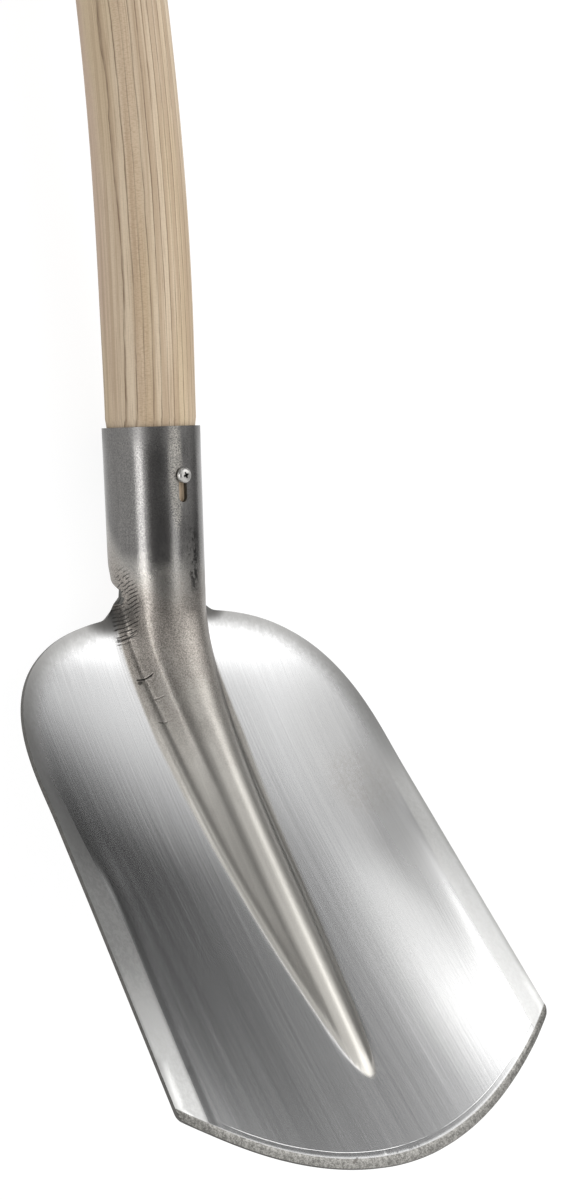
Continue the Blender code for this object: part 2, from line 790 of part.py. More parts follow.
def main():
    clear_scene()
    steel = make_material("forged_steel", (0.44, 0.43, 0.41), 0.36, 1.0)
    ash = make_material("oiled_ash", (0.62, 0.47, 0.31), 0.55, 0.0)
    zinc = make_material("screw_steel", (0.50, 0.49, 0.46), 0.40, 1.0)

    blade_frame = add_empty("blade_frame", None)
    socket_frame = add_empty("socket_frame", blade_frame)
    socket_frame.location = MOUTH - front_of(SOCKET_AXIS) * SOCKET_RADIUS
    socket_frame.rotation_euler = (SOCKET_LIFT - math.pi / 2, 0, 0)

    head = add_object("shovel_head", head_solid(), blade_frame, steel)
    shaft = add_object("ash_shaft", shaft_solid(), socket_frame, ash)
    screw = add_object("fixing_screw", screw_solid(), socket_frame, zinc)
    face_front(screw, SCREW_DOWN, SCREW_SEAT)

    slot = add_object("slot_cutter", slot_cutter(), socket_frame)
    slot_middle = (SLOT_TOP + SLOT_END) / 2
    face_front(slot, slot_middle, socket_radius(slot_middle))
    cut(head, slot)
    bore = add_object("bore_cutter", bore_cutter(), socket_frame)
    face_front(bore, SCREW_DOWN, SCREW_SEAT)
    cut(shaft, bore)
    for name, turn in (("recess_cutter_1", 0.0), ("recess_cutter_2", math.pi / 2)):
        arm = add_object(name, recess_cutter(), screw)
        arm.rotation_euler = (0, 0, RECESS_TURN + turn)
        cut(screw, arm)

    lay_down(blade_frame, socket_frame, head, shaft)


main()
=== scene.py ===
# %% [markdown]
# # A sand shovel on a pale floor
# The shovel has three pieces: a head pressed from one sheet of steel, a bent ash shaft and the
# one screw between them. The packed model gives their sizes and places, in metres. This file
# gives each of them a finer shape and its finish, then a floor, soft light and a camera.

import math

import bmesh
import bpy
from mathutils import Euler, Matrix, Vector
from mathutils.kdtree import KDTree


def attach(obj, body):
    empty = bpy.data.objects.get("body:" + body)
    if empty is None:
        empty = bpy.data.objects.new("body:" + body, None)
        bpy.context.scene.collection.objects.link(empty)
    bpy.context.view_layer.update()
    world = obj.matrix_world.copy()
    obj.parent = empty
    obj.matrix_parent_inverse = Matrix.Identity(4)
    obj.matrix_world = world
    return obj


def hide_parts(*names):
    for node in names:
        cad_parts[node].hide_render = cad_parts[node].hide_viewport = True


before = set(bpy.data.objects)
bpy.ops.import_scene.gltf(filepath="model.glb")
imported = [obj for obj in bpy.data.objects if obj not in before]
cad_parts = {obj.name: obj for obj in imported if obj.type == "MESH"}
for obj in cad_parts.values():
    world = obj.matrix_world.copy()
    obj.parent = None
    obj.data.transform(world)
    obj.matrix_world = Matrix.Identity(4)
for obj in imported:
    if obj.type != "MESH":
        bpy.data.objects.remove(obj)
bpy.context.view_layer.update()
print("nodes:", sorted(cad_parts))

# %% [markdown]
# The shovel lies on its back, so nothing on it is square to the floor. Two tilted frames make
# the work simple. In the blade's frame X runs across the blade, Y from the middle of the
# cutting edge towards the shaft, and Z up out of the hollow side. In the socket's frame Z runs
# up the socket's axis from its mouth, and -Y points out of its front.

# %% The two frames
BLADE_TILT = math.radians(-31.91277)
SOCKET_RISE = math.radians(39.25)
EDGE_MIDDLE = Vector((0, -0.665075, 0.152465))
MOUTH_MIDDLE = Vector((0, 0.334936, 0.063576))

blade_frame = Matrix.Translation(EDGE_MIDDLE) @ Matrix.Rotation(BLADE_TILT, 4, "X")
socket_turn = Matrix.Rotation(SOCKET_RISE - math.pi / 2, 4, "X")
socket_frame = blade_frame @ Matrix.Translation(MOUTH_MIDDLE) @ socket_turn
to_blade = blade_frame.inverted()
to_socket = socket_frame.inverted()
print("socket's mouth:", [round(value, 4) for value in socket_frame.translation])

# %% [markdown]
# A finished piece is an object at the origin, unturned and unscaled, with its place in its mesh. It rides on
# the model's one body, and the model's node that it replaces is hidden.
# Blender's Boolean modifier cuts one shape out of another, so both are made objects for a
# moment and read back as a bmesh.

# %% Helpers for pieces


def add_piece(name, shape, node):
    """Makes a finished piece from a bmesh that is already in place."""
    mesh = bpy.data.meshes.new(name)
    shape.to_mesh(mesh)
    shape.free()
    piece = bpy.data.objects.new(name, mesh)
    bpy.context.scene.collection.objects.link(piece)
    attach(piece, "root")
    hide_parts(node)
    return piece


def smooth(mesh, angle):
    """Shades a mesh smooth, apart from edges sharper than the angle."""
    mesh.shade_smooth()
    mesh.set_sharp_from_angle(angle=angle)


def lend_object(name, shape):
    """Puts a bmesh into an object for a moment, so that modifiers can work on it."""
    mesh = bpy.data.meshes.new(name)
    shape.to_mesh(mesh)
    shape.free()
    lent = bpy.data.objects.new(name, mesh)
    bpy.context.scene.collection.objects.link(lent)
    return lent


def take_back(lent):
    """The shape that an object has with its modifiers, as a new bmesh."""
    shape = bmesh.new()
    shape.from_object(lent, bpy.context.evaluated_depsgraph_get())
    return shape


def carve(shape, cutters):
    """Takes each cutter's shape out of a bmesh, and returns what is left as a new one."""
    block = lend_object("block", shape)
    knives = [lend_object("knife", cutter) for cutter in cutters]
    for knife in knives:
        cut = block.modifiers.new("cut", "BOOLEAN")
        cut.operation = "DIFFERENCE"
        cut.solver = "EXACT"
        cut.object = knife
    carved = take_back(block)
    for lent in (block, *knives):
        bpy.data.objects.remove(lent)
    return carved


print("helpers: add_piece, smooth and carve")

# %% [markdown]
# ## The head
# The real head starts as a flat blank. A press dishes it, draws the rib up its middle and
# rolls its tail into a socket, so one sheet flows from the cutting edge to the mouth. The
# packed model already holds that shape as a coarse grid. Drawing it again would be a lot of
# work, so a copy of that mesh is merged and will be turned back into quads and subdivided.

# %% Merge a copy of the packed head
SAME_POINT = 1e-6

head = bmesh.new()
head.from_mesh(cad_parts["shovel_head"].data)
bmesh.ops.remove_doubles(head, verts=head.verts, dist=SAME_POINT)
print("head copy:", len(head.verts), "points")

# %% [markdown]
# The screw's slot was cut through the coarse grid, and the long thin triangles round it would
# show as dents in polished steel. Its points are taken out, the hole on each side of the sheet
# is closed with a fan of faces, and the slot is cut again once the grid is fine.

# %% Close the slot
SLOT_MIDDLE = 0.02675
PATCH_HALVES = 0.0030, 0.0080
SHARP = math.radians(40)
SKEW = math.radians(80)


def by_the_slot(place, half_width, half_length):
    """Whether a place in the socket's frame is in a rectangle round the slot's middle."""
    return abs(place.x) < half_width and place.y < 0 and abs(place.z + SLOT_MIDDLE) < half_length


slot_points = [vert for vert in head.verts if by_the_slot(to_socket @ vert.co, *PATCH_HALVES)]
print("slot points removed:", len(slot_points))
bmesh.ops.delete(head, geom=slot_points, context="VERTS")
rims = [edge for edge in head.edges if edge.is_boundary]
patches = bmesh.ops.holes_fill(head, edges=rims, sides=40)["faces"]
print("patches:", [len(face.verts) for face in patches])
for patch in patches:
    nearest = sorted(patch.verts, key=lambda vert: abs((to_socket @ vert.co).x))[:2]
    middle = (nearest[0].co + nearest[1].co) / 2
    fan = bmesh.ops.poke(head, faces=[patch], center_mode="MEAN")
    fan["verts"][0].co = middle
bmesh.ops.join_triangles(
    head, faces=head.faces, angle_face_threshold=SHARP, angle_shape_threshold=SKEW
)
bmesh.ops.recalc_face_normals(head, faces=head.faces)
print("head faces:", len(head.faces), "of them quads:", sum(len(face.verts) == 4 for face in head.faces))

# %% [markdown]
# Subdividing rounds every edge that isn't creased. The rim of the sheet is sharper than 40
# degrees and stays crisp. So does the line where the ground bevel of the cutting edge starts.
# On the left of the blade the fold between the hollow and the flatter band along the rim shows
# as a line too, and it stays half crisp. All are found by their place in the blade's frame.

# %% Crease the crisp lines
EDGE_BOW = 0.0418
EDGE_CURVE = 1.97
BLADE_FRONT_HALF = 0.1031
BEVEL_STARTS = 0.002, 0.006
BEVEL_ANGLE = math.radians(12)
FOLD_FROM_MIDDLE = 0.0871
FOLD_MEASURED_AT = 0.060
FOLD_TAPER = 0.0427
FOLD_REACH = 0.0035
FOLD_ANGLE = math.radians(2.5)
FOLD_RUN = 0.003
FOLD_ENDS = 0.170
FOLD_CREASE = 0.6
CUT_EDGE = 1


def edge_line(across):
    """How far the bowed cutting edge has gone back, at a distance from the middle."""
    return EDGE_BOW * (abs(across) / BLADE_FRONT_HALF) ** EDGE_CURVE


def fold_line(along):
    """How far the fold is from the middle, at a distance behind the middle of the edge."""
    return FOLD_FROM_MIDDLE - FOLD_TAPER * (along - FOLD_MEASURED_AT)


def crispness(edge):
    """The crease that an edge of the coarse head gets."""
    angle = edge.calc_face_angle(0)
    start, end = (to_blade @ vert.co for vert in edge.verts)
    middle = (start + end) / 2
    behind_edge = middle.y - edge_line(middle.x)
    starts_bevel = angle > BEVEL_ANGLE and BEVEL_STARTS[0] < behind_edge < BEVEL_STARTS[1]
    if angle > SHARP or starts_bevel:
        return 1.0
    on_fold = abs(-middle.x - fold_line(middle.y)) < FOLD_REACH and middle.y < FOLD_ENDS
    if angle > FOLD_ANGLE and on_fold and abs(end.y - start.y) > FOLD_RUN:
        return FOLD_CREASE
    return 0.0


crease = head.edges.layers.float.new("crease_edge")
for edge in head.edges:
    edge[crease] = crispness(edge)
for face in head.faces:
    sharp_sides = sum(edge.calc_face_angle(0) > SHARP for edge in face.edges)
    face.material_index = CUT_EDGE if sharp_sides > 1 else 0
print("creased edges:", sum(edge[crease] > 0 for edge in head.edges))
print("faces on the sheet's cut edge:", sum(face.material_index for face in head.faces))

# %% [markdown]
# Two rounds of Catmull-Clark subdivision turn each quad into sixteen, which is fine enough for
# the reflections on bare steel to run smoothly.

# %% Subdivide the head
rough_head = lend_object("rough_head", head)
subdivision = rough_head.modifiers.new("fine", "SUBSURF")
subdivision.levels = 2
subdivision.render_levels = 2
fine_head = take_back(rough_head)
bpy.data.objects.remove(rough_head)
print("fine head:", len(fine_head.faces), "faces")

# %% [markdown]
# The slot lets the head slide a little on the shaft, so that it can be driven back tight when
# the wood shrinks. Its cutter is a short cylinder whose two halves are pulled apart. The walls
# that it leaves are cut edge as well.

# %% Cut the slot again
SLOT_WIDTH = 0.0044
SLOT_LENGTH = 0.0145
SLOT_HALVES = 0.0024, 0.0075
SOCKET_FRONT = 0.0225
CUTTER_SIDES = 32
CUTTER_DEPTH = 0.010
HEAD_SHARP = math.radians(16)

slot_cutter = bmesh.new()
bmesh.ops.create_cone(
    slot_cutter, cap_ends=True, segments=CUTTER_SIDES, radius1=SLOT_WIDTH / 2, radius2=SLOT_WIDTH / 2,
    depth=CUTTER_DEPTH, matrix=Matrix.Rotation(math.pi / CUTTER_SIDES, 4, "Z"),
)
for vert in slot_cutter.verts:
    vert.co.y += math.copysign((SLOT_LENGTH - SLOT_WIDTH) / 2, vert.co.y)
out_of_front = Matrix.Translation((0, -SOCKET_FRONT, -SLOT_MIDDLE)) @ Matrix.Rotation(math.pi / 2, 4, "X")
slot_cutter.transform(socket_frame @ out_of_front)
pressed_head = add_piece("pressed_head", carve(fine_head, [slot_cutter]), "shovel_head")
smooth(pressed_head.data, HEAD_SHARP)

socket_turn_back = to_socket.to_3x3()
for face in pressed_head.data.polygons:
    place = to_socket @ face.center
    outwards = Vector((place.x, place.y, 0)).normalized()
    across_sheet = abs((socket_turn_back @ face.normal).dot(outwards)) < 0.5
    if across_sheet and by_the_slot(place, *SLOT_HALVES):
        face.material_index = CUT_EDGE
print("pressed_head:", len(pressed_head.data.polygons), "faces")

# %% [markdown]
# The finish paints the steel darker and duller near the sheet's cut edge. Each point stores how far it is
# from that edge, so that the finish can use it later.

# %% Distance to the rim
cut_faces = [face for face in pressed_head.data.polygons if face.material_index == CUT_EDGE]
rim_points = {index for face in cut_faces for index in face.vertices}
rim_tree = KDTree(len(rim_points))
for index in rim_points:
    rim_tree.insert(pressed_head.data.vertices[index].co, index)
rim_tree.balance()
rim_distance = pressed_head.data.attributes.new("rim_distance", "FLOAT", "POINT")
for vert in pressed_head.data.vertices:
    rim_distance.data[vert.index].value = rim_tree.find(vert.co)[2]
print("points on the cut edge:", len(rim_points))

# %% [markdown]
# ## The shaft
# The real shaft is turned round from one ash billet, steamed, and bent back just above the
# socket. It is made here in the same order: a profile is spun about the socket's axis, and
# the straight piece is then bent. The profile starts at the blunt nose inside the neck, fills
# the socket's bore, steps out a little at the mouth, swells, and ends at the rounded butt.

# %% The shaft's profile
NOSE = -0.0860
NOSE_END = -0.0500
NOSE_RADIUS = 0.0120
NOSE_ROUND = 0.0040
SEAT_RADIUS = 0.01982
MOUTH_RADIUS = 0.02007
STEP = 0.0040
STEP_RADIUS = 0.0206
SWELL_AT = 0.0600
SWELL_RADIUS = 0.0210
SWELL_FADES = 0.1400
SHAFT_RADIUS = 0.0205
BUTT = 1.0140
BUTT_ROUND = 0.0050
BENT_RINGS = 41
BENT_RING_GAP = 0.0062
STRAIGHT_RINGS = 12


def ease(value):
    """A smooth step from 0 to 1."""
    value = min(1.0, max(0.0, value))
    return value * value * (3 - 2 * value)


def mix(start, end, share):
    return start + (end - start) * share


def shaft_radius(above):
    """Radius at a distance above the mouth. Below it the wood fills the socket's bore."""
    if above < 0:
        return mix(SEAT_RADIUS, MOUTH_RADIUS, (above - NOSE_END) / -NOSE_END)
    if above < STEP:
        return mix(MOUTH_RADIUS, STEP_RADIUS, above / STEP)
    full = mix(STEP_RADIUS, SWELL_RADIUS, ease((above - STEP) / (SWELL_AT - STEP)))
    return mix(full, SHAFT_RADIUS, ease((above - SWELL_AT) / SWELL_FADES))


profile = [(0.0, NOSE)]
for i in range(4):
    turn = math.radians(30) * i
    radius = NOSE_RADIUS - NOSE_ROUND * (1 - math.sin(turn))
    profile.append((radius, NOSE + NOSE_ROUND * (1 - math.cos(turn))))
for i in range(1, 7):
    share = i / 6
    radius = mix(NOSE_RADIUS, SEAT_RADIUS, math.sin(math.pi / 2 * share))
    profile.append((radius, mix(NOSE + NOSE_ROUND, NOSE_END, share)))
heights = [NOSE_END / 2, 0.0, STEP]
heights += [STEP + BENT_RING_GAP * i for i in range(1, BENT_RINGS + 1)]
heights += [mix(heights[-1], BUTT - BUTT_ROUND, i / STRAIGHT_RINGS) for i in range(1, STRAIGHT_RINGS + 1)]
profile += [(shaft_radius(above), above) for above in heights]
for i in range(1, 7):
    turn = math.radians(15) * i
    radius = SHAFT_RADIUS - BUTT_ROUND * (1 - math.cos(turn))
    profile.append((radius, BUTT - BUTT_ROUND * (1 - math.sin(turn))))
profile.append((0.0, BUTT))
print("shaft profile:", len(profile), "points")

# %% [markdown]
# Spinning the profile makes the turned billet. Then every ring of points moves to its place on
# the bent axis and leans with it. Each point keeps its place in the straight piece as an
# attribute, so the grain can follow the bend, as it does in wood that is bent and not sawn.

# %% Turn the shaft, then bend it
BEND_START = 0.0050
BEND_LENGTH = 0.2500
BEND = math.radians(9)
BEND_STEPS = 80
SHAFT_SIDES = 72


def lathe(profile, sides):
    """Spins a profile of (radius, height) once about Z, and closes it at the axis."""
    shape = bmesh.new()
    points = [shape.verts.new((radius, 0, height)) for radius, height in profile]
    lines = [shape.edges.new(pair) for pair in zip(points, points[1:])]
    bmesh.ops.spin(
        shape, geom=points + lines, cent=(0, 0, 0), axis=(0, 0, 1), dvec=(0, 0, 0),
        angle=2 * math.pi, steps=sides, use_merge=True, use_duplicate=False,
    )
    bmesh.ops.remove_doubles(shape, verts=shape.verts, dist=SAME_POINT)
    bmesh.ops.recalc_face_normals(shape, faces=shape.faces)
    return shape


def bend_angle(above):
    return BEND * ease((above - BEND_START) / BEND_LENGTH)


def bend_centre(above):
    """Where the bent axis has got to at a distance above the mouth."""
    centre = Vector((0, 0, 0))
    for i in range(BEND_STEPS):
        lean = bend_angle(above * (i + 0.5) / BEND_STEPS)
        centre += Vector((0, math.sin(lean), math.cos(lean))) * (above / BEND_STEPS)
    return centre


shaft = lathe(profile, SHAFT_SIDES)
straight = shaft.verts.layers.float_vector.new("straight")
centres = {}
for vert in shaft.verts:
    vert[straight] = vert.co
    above = vert.co.z
    key = round(above, 6)
    if key not in centres:
        centres[key] = bend_centre(above)
    lean = bend_angle(above)
    back = Vector((0, math.cos(lean), -math.sin(lean)))
    vert.co = centres[key] + Vector((vert.co.x, 0, 0)) + back * vert.co.y
shaft.transform(socket_frame)
bent_shaft = add_piece("bent_shaft", shaft, "ash_shaft")
smooth(bent_shaft.data, SHARP)
print("bent_shaft:", len(bent_shaft.data.polygons), "faces")

# %% [markdown]
# ## The screw
# A small pan head screw holds the head on the shaft. Its point, shank, neck and domed head are
# one turned profile, so they are spun like the shaft.

# %% Turn the screw
HEAD_RADIUS = 0.0036
HEAD_HEIGHT = 0.0024
HEAD_RIM = 0.0007
HEAD_BEVEL = 0.0002
DOME_FULLNESS = 0.7
NECK_RADIUS = 0.0015
NECK_LENGTH = 0.0029
NECK_TAPER = 0.0003
CORE = 0.0012
SCREW_LENGTH = 0.0250
TIP = 0.0040
SCREW_SIDES = 48

screw_profile = [(0.0, -SCREW_LENGTH), (CORE, TIP - SCREW_LENGTH)]
screw_profile += [(CORE, -NECK_LENGTH - NECK_TAPER), (NECK_RADIUS, -NECK_LENGTH), (NECK_RADIUS, 0.0)]
screw_profile += [(HEAD_RADIUS - HEAD_BEVEL, 0.0), (HEAD_RADIUS, HEAD_BEVEL), (HEAD_RADIUS, HEAD_RIM)]
for i in range(1, 9):
    turn = math.radians(10) * i
    dome = mix(HEAD_RIM, HEAD_HEIGHT, math.sin(turn))
    screw_profile.append((HEAD_RADIUS * math.cos(turn) ** DOME_FULLNESS, dome))
screw_profile.append((0.0, HEAD_HEIGHT))
screw = lathe(screw_profile, SCREW_SIDES)
print("turned screw:", len(screw.faces), "faces")

# %% [markdown]
# The cross recess is cut by two bars that narrow downwards, as the driver's bit does. They are
# turned a little, as the screw was left.

# %% Cut the cross recess
RECESS_BAR = 0.0044, 0.0011, 0.0030
BAR_TAPER = 0.4, 0.67
RECESS_TURN = math.radians(20)

bars = []
for turn in (RECESS_TURN, RECESS_TURN + math.pi / 2):
    bar = bmesh.new()
    bmesh.ops.create_cube(bar, size=1.0, matrix=Matrix.Diagonal((*RECESS_BAR, 1)))
    for vert in bar.verts:
        if vert.co.z < 0:
            vert.co.x *= BAR_TAPER[0]
            vert.co.y *= BAR_TAPER[1]
    bar.transform(Matrix.Translation((0, 0, HEAD_HEIGHT)) @ Matrix.Rotation(turn, 4, "Z"))
    bars.append(bar)
screw = carve(screw, bars)
print("with its recess:", len(screw.faces), "faces")

# %% [markdown]
# The thread is a triangle with its foot sunk in the shank. Spinning it and pushing it along at
# once draws a helix. The screw then goes to its seat at the top of the slot.

# %% Cut the thread and seat the screw
THREAD = 0.0018
THREAD_START = 0.0050
THREAD_HALF = 0.0005
THREAD_SUNK = 0.0002
BARE_SHANK = 0.0040
PITCH = 0.0020
STEPS_PER_TURN = 20
SCREW_SEAT = 0.02269
SCREW_HEIGHT = -0.0220
SCREW_SHARP = math.radians(35)

turns = round((SCREW_LENGTH - TIP - BARE_SHANK) / PITCH)
foot_radius = CORE - THREAD_SUNK
corners = [
    (foot_radius, 0, -THREAD_START - THREAD_HALF),
    (THREAD, 0, -THREAD_START),
    (foot_radius, 0, -THREAD_START + THREAD_HALF),
]
thread_end = screw.faces.new([screw.verts.new(corner) for corner in corners])
bmesh.ops.spin(
    screw, geom=[thread_end], cent=(0, 0, 0), axis=(0, 0, 1), dvec=(0, 0, -PITCH / STEPS_PER_TURN),
    angle=2 * math.pi * turns, steps=STEPS_PER_TURN * turns, use_merge=False, use_duplicate=False,
)
bmesh.ops.recalc_face_normals(screw, faces=screw.faces)
seat = Matrix.Translation((0, -SCREW_SEAT, SCREW_HEIGHT)) @ Matrix.Rotation(math.pi / 2, 4, "X")
screw.transform(socket_frame @ seat)
pan_screw = add_piece("pan_screw", screw, "fixing_screw")
smooth(pan_screw.data, SCREW_SHARP)
print("pan_screw:", len(pan_screw.data.polygons), "faces,", turns, "turns of thread")

# %% [markdown]
# ## Finishes
# A finish is a network of shader nodes. Written out link by link it is hard to read, so small
# classes let it be written as sums. A Term is one output of a node, and the usual signs
# between Terms add Math nodes.

# %% Terms


class Term:
    """One output of a shader node."""

    def __init__(self, network, socket):
        self.network = network
        self.socket = socket

    def output(self, name):
        """Another output of the same node."""
        return Term(self.network, self.socket.node.outputs[name])

    def math(self, operation, *values):
        return self.network.node("ShaderNodeMath", {"operation": operation}, dict(enumerate(values)))

    def __neg__(self):
        return self.math("MULTIPLY", self, -1.0)

    def __add__(self, other):
        return self.math("ADD", self, other)

    def __radd__(self, other):
        return self.math("ADD", other, self)

    def __sub__(self, other):
        return self.math("SUBTRACT", self, other)

    def __rsub__(self, other):
        return self.math("SUBTRACT", other, self)

    def __mul__(self, other):
        return self.math("MULTIPLY", self, other)

    def __rmul__(self, other):
        return self.math("MULTIPLY", other, self)

    def __truediv__(self, other):
        return self.math("DIVIDE", self, other)

    def __pow__(self, other):
        return self.math("POWER", self, other)

    def __abs__(self):
        return self.math("ABSOLUTE", self)

    def most(self, other):
        return self.math("MAXIMUM", self, other)

    def least(self, other):
        return self.math("MINIMUM", self, other)


print("Terms have signs, and", [name for name in vars(Term) if not name.startswith("_")])

# %% [markdown]
# A Network's node method adds any other node: its settings first, then what goes into each of
# its sockets. The rest are the few drawing tools that every finish here needs: noise, a soft
# step, a blend of two colours, an oval spot and a short stroke.

# %% Networks


class Network:
    """A tree of shader nodes, and the ways that a pattern is drawn in it."""

    def __init__(self, tree):
        self.tree = tree
        self.tree.nodes.clear()

    def node(self, kind, settings, sockets, output=0):
        """Adds a node: its settings first, then a number, a colour or a Term for each socket."""
        node = self.tree.nodes.new(kind)
        for name, value in settings.items():
            setattr(node, name, value)
        for name, value in sockets.items():
            if isinstance(value, Term):
                self.tree.links.new(value.socket, node.inputs[name])
            elif isinstance(value, tuple) and node.inputs[name].type == "RGBA":
                node.inputs[name].default_value = (*value, 1)
            else:
                node.inputs[name].default_value = value
        return Term(self, node.outputs[output])

    def end(self, kind, shader):
        """Adds the output node, with the shader that it shows."""
        node = self.tree.nodes.new(kind)
        self.tree.links.new(shader.socket, node.inputs["Surface"])

    def place_in(self, matrix):
        """The point's place in a tilted frame."""
        place = self.node("ShaderNodeTexCoord", {}, {}, "Object")
        return self.node(
            "ShaderNodeMapping",
            {"vector_type": "TEXTURE"},
            {"Vector": place, "Location": tuple(matrix.translation), "Rotation": tuple(matrix.to_euler())},
        )

    def split(self, vector):
        """The three parts of a vector."""
        parts = self.node("ShaderNodeSeparateXYZ", {}, {"Vector": vector})
        return [parts.output(axis) for axis in "XYZ"]

    def noise(self, place, blots, detail=2.0, roughness=0.5):
        """Soft noise from 0 to 1, with so many blots to the metre along each axis."""
        stretched = self.node("ShaderNodeVectorMath", {"operation": "MULTIPLY"}, {0: place, 1: blots})
        return self.node(
            "ShaderNodeTexNoise",
            {},
            {"Vector": stretched, "Scale": 1.0, "Detail": detail, "Roughness": roughness},
        )

    def ramp(self, value, low, high):
        """0 up to the low value and 1 from the high one, with a smooth step between."""
        return self.node(
            "ShaderNodeMapRange",
            {"interpolation_type": "SMOOTHSTEP"},
            {0: value, 1: low, 2: high, 3: 0.0, 4: 1.0},
        )

    def blend(self, share, first, second):
        """A colour between two, for a share from 0 to 1."""
        return self.node("ShaderNodeMix", {"data_type": "RGBA"}, {0: share, 6: first, 7: second}, 2)

    def attribute(self, name, output):
        return self.node("ShaderNodeAttribute", {"attribute_name": name}, {}, output)

    def spot(self, x, y, centre, half_sizes, soft=0.9):
        """1 in the middle of an oval and 0 outside it."""
        reach = ((x - centre[0]) / half_sizes[0]) ** 2 + ((y - centre[1]) / half_sizes[1]) ** 2
        return self.ramp(reach, 1.0 + soft, 1.0 - soft)

    def stroke(self, x, y, start, end, half_width):
        """1 on a short straight line and 0 off it."""
        run, rise = end[0] - start[0], end[1] - start[1]
        share = ((x - start[0]) * run + (y - start[1]) * rise) / (run * run + rise * rise)
        share = share.most(0.0).least(1.0)
        off = (x - start[0] - share * run) ** 2 + (y - start[1] - share * rise) ** 2
        return self.ramp(off ** 0.5, 1.5 * half_width, 0.5 * half_width)

    def bump(self, height, strength, distance):
        return self.node("ShaderNodeBump", {}, {"Height": height, "Strength": strength, "Distance": distance})


class Finish(Network):
    """The network of one material."""

    def __init__(self, name):
        self.material = bpy.data.materials.new(name)
        self.material.use_nodes = True
        super().__init__(self.material.node_tree)

    def surface(self, sockets):
        """Adds the shader and the material's output, and returns the material."""
        self.end("ShaderNodeOutputMaterial", self.node("ShaderNodeBsdfPrincipled", {}, sockets))
        print(self.material.name, "has", len(self.tree.nodes), "nodes")
        return self.material


print("drawing tools:", sorted(name for name in vars(Network) if not name.startswith("_")))

# %% [markdown]
# ### Brushed steel
# The blade is brushed along its length and left bare. Its long thin streaks are noise with
# many blots to the metre across the blade and few along it. Broader streaks are scratched
# paler in places.

# %% Brushed steel
BRUSHED_GREYS = (0.53, 0.533, 0.540), (0.82, 0.82, 0.818)
SCRATCH_GREY = 0.92, 0.92, 0.92

steel = Finish("brushed_and_forged_steel")
blade_place = steel.place_in(blade_frame)
across, along, up = steel.split(blade_place)
rim = steel.attribute("rim_distance", "Fac")

streaks = steel.noise(blade_place, (1100, 9, 0), 3.0, 0.6)
broad_streaks = steel.noise(blade_place, (260, 5, 0), 2.0, 0.6)
cloud = steel.noise(blade_place, (30, 22, 30), 3.0, 0.5)
grain = steel.noise(blade_place, (1900, 1900, 1900), 2.0, 0.7)
flecks = steel.noise(blade_place, (620, 420, 620), 4.0, 0.75)

colour = steel.blend(0.8 * streaks + 0.2 * grain, *BRUSHED_GREYS)
scratched = steel.ramp(broad_streaks, 0.60, 0.74) * steel.ramp(cloud, 0.40, 0.60)
colour = steel.blend(0.24 * scratched, colour, SCRATCH_GREY)
print("brushed:", len(steel.tree.nodes), "nodes")

# %% [markdown]
# The flatter band along each side starts a little outside the fold and dies out towards the shoulders. It is
# painted paler and flecked. On the left it carries painted shade that darkens towards the rear, and the fold
# is painted as a thin dark line of shade. The front right corner is painted paler.

# %% Side bands
BAND_GREYS = (0.84, 0.84, 0.83), (0.72, 0.72, 0.705)
LEFT_BAND_SHADE_GREYS = (0.19, 0.188, 0.184), (0.33, 0.328, 0.320)
FOLD_SHADE_GREY = 0.16, 0.16, 0.158
PALE_FRONT_GREY = 0.93, 0.93, 0.92
BAND_OFF_FOLD = 0.0027
BAND_OPENS_AT = 0.120
BAND_OPENING = 0.06
BAND_DIES_OUT = 0.200, 0.150

band_line = fold_line(along) + BAND_OFF_FOLD + BAND_OPENING * (along - BAND_OPENS_AT).most(0.0)
band = steel.ramp(abs(across) - band_line, -0.0006, 0.0008) * steel.ramp(along, *BAND_DIES_OUT)
band_grey = steel.blend(steel.ramp(flecks, 0.30, 0.70), *BAND_GREYS)
colour = steel.blend(band, colour, band_grey)

# Painted shade on the left band, darker towards the rear.
left_band_shade = band * steel.ramp(across, 0.040, -0.040) * steel.ramp(along, 0.040, 0.135)
left_band_shade_grey = steel.blend(steel.ramp(flecks, 0.38, 0.62), *LEFT_BAND_SHADE_GREYS)
colour = steel.blend(0.88 * left_band_shade, colour, left_band_shade_grey)
# A thin dark line of painted shade along the left fold.
fold_shade_line = steel.ramp(abs(abs(across) - band_line + 0.0016), 0.0034, 0.0010) * steel.ramp(along, 0.180, 0.150)
on_left = steel.ramp(across, 0.0, -0.010)
colour = steel.blend(0.55 * fold_shade_line * on_left, colour, FOLD_SHADE_GREY)
# A paler patch painted at the front right corner.
pale_front = steel.spot(across, along, centre=(0.075, 0.085), half_sizes=(0.045, 0.055))
colour = steel.blend(0.5 * pale_front, colour, PALE_FRONT_GREY)
print("with the bands:", len(steel.tree.nodes), "nodes")

# %% [markdown]
# A warm stain lies on the right, near the rear, under a broad patch of painted shade, and painted shade
# darkens the left side there too. The steel is painted darker along the rim and is duller there, most of all
# on the shoulders. The distance to the rim that each point stores says where it goes, and the flecks make its
# border ragged. The spot where the right fold dies out is kept for the roughness.

# %% Stain, painted shade and the dark rim
STAIN_BROWN = 0.44, 0.40, 0.35
SHADE_GREY = 0.36, 0.355, 0.345
DARK_RIM_GREY = 0.235, 0.231, 0.223
LEFT_SIDE_SHADE_GREY = 0.26, 0.26, 0.256
SHOULDERS = 0.150, 0.215

stain = steel.spot(across, along, centre=(0.073, 0.172), half_sizes=(0.015, 0.017))
colour = steel.blend(0.40 * stain * steel.ramp(flecks, 0.30, 0.70), colour, STAIN_BROWN)
# A broad patch of painted shade over the right side, near the rear.
shade = steel.spot(across, along, centre=(0.078, 0.175), half_sizes=(0.030, 0.055), soft=0.95)
colour = steel.blend(0.42 * shade, colour, SHADE_GREY)

# The steel along the rim is painted darker, most of all on the shoulders.
dark_rim = steel.ramp(along, *SHOULDERS) * steel.ramp(rim + 0.006 * flecks, 0.0165, 0.0040)
dark_rim = dark_rim.most(0.55 * steel.ramp(rim + 0.003 * flecks, 0.0050, 0.0016))
colour = steel.blend(0.84 * dark_rim, colour, DARK_RIM_GREY)

